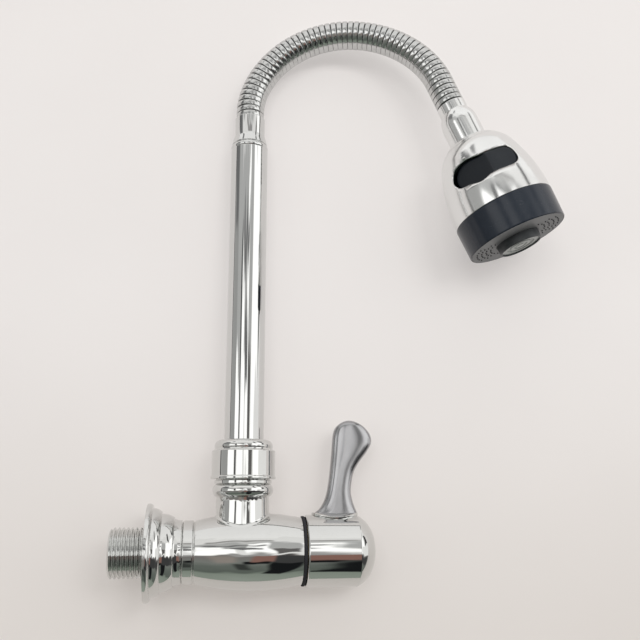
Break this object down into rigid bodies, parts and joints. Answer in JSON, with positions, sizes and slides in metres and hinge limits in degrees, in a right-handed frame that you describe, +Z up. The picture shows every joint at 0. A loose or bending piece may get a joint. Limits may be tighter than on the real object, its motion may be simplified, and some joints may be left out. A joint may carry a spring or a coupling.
{
  "type": "wall tap",
  "caption": "Chrome single-inlet wall tap with a side lever, a turning riser and a ribbed stay-put gooseneck that carries a two-way spray head with a rocker.",
  "frame": {"origin": "on the body's axis, in the plane of the flange's rim, where the tap meets the wall", "axes": "+X out of the wall along the body towards the handle, +Z up the riser, +Y away from the side that the picture shows"},
  "size_m": [0.1978, 0.0703, 0.2732],
  "materials": {
    "chrome_body": "polished chrome plate on cast brass",
    "chrome_tube": "polished chrome plate",
    "ribbed_steel": "bright stainless steel, thin dark grooves",
    "spring_steel": "plain steel",
    "plain_brass": "turned brass",
    "black_rubber": "soft black",
    "tube_rubber": "smooth grey",
    "white_ceramic": "lapped white ceramic",
    "white_plastic": "natural white",
    "core_plastic": "dark grey moulding",
    "dark_gloss": "glossy blue-black",
    "grey_plastic": "fine-textured mid grey",
    "dark_plastic": "dark grey moulding",
    "silver_plastic": "silver-grey",
    "rocker_black": "smooth black"
  },
  "bodies": {
    "base": {"tap_body": "chrome_body", "wall_flange": "chrome_body", "cartridge_housing": "plain_brass", "seat_seal": "black_rubber", "fixed_disc": "white_ceramic", "spindle_seal": "black_rubber", "handle_gasket": "black_rubber", "union_nut": "chrome_body", "glide_ring": "white_plastic"},
    "handle": {"moving_disc": "white_ceramic", "spindle": "plain_brass", "spindle_clip": "spring_steel", "lever_handle": "chrome_body", "grub_screw": "spring_steel"},
    "spout": {"swivel_spigot": "plain_brass", "lower_spout_seal": "black_rubber", "upper_spout_seal": "black_rubber", "riser_tube": "chrome_tube", "lower_ferrule": "chrome_tube", "gooseneck_hose": "ribbed_steel", "water_tube": "tube_rubber"},
    "head": {"upper_ferrule": "chrome_tube", "inlet_washer": "black_rubber", "head_shell": "chrome_tube", "collar_ring": "dark_gloss", "spray_plate": "grey_plastic", "head_core": "core_plastic", "rocker_pin": "spring_steel", "aerator_housing": "dark_plastic", "aerator_insert": "silver_plastic"},
    "rocker": {"mode_rocker": "rocker_black"},
    "diverter": {"diverter_stem": "plain_brass"}
  },
  "joints": [
    {"name": "handle_turn", "type": "hinge", "parent": "base", "child": "handle", "pos_m": [0.07, 0, 0], "axis": [1, 0, 0], "range_deg": [0, 90]},
    {"name": "spout_swivel", "type": "hinge", "parent": "base", "child": "spout", "pos_m": [0.0402, 0, 0.04], "axis": [0, 0, 1], "continuous": true},
    {"name": "gooseneck_bend", "type": "hinge", "parent": "spout", "child": "head", "pos_m": [0.08262, -0.00953, 0.22907], "axis": [0.2192, 0.9757, 0], "range_deg": [-40, 25], "deforming": ["gooseneck_hose", "water_tube"]},
    {"name": "rocker_tilt", "type": "hinge", "parent": "head", "child": "rocker", "pos_m": [0.14461, -0.03664, 0.16571], "axis": [-0.3623, 0.0814, 0.9285], "range_deg": [0, 12]},
    {"name": "diverter_slide", "type": "slide", "parent": "head", "child": "diverter", "axis": [0.8334, -0.4178, 0.3618], "range_m": [-0.00231, 0]}
  ],
  "couplings": [
    {"joint": "rocker_tilt", "follows": "diverter_slide", "rad_per_m": -90.498}
  ]
}
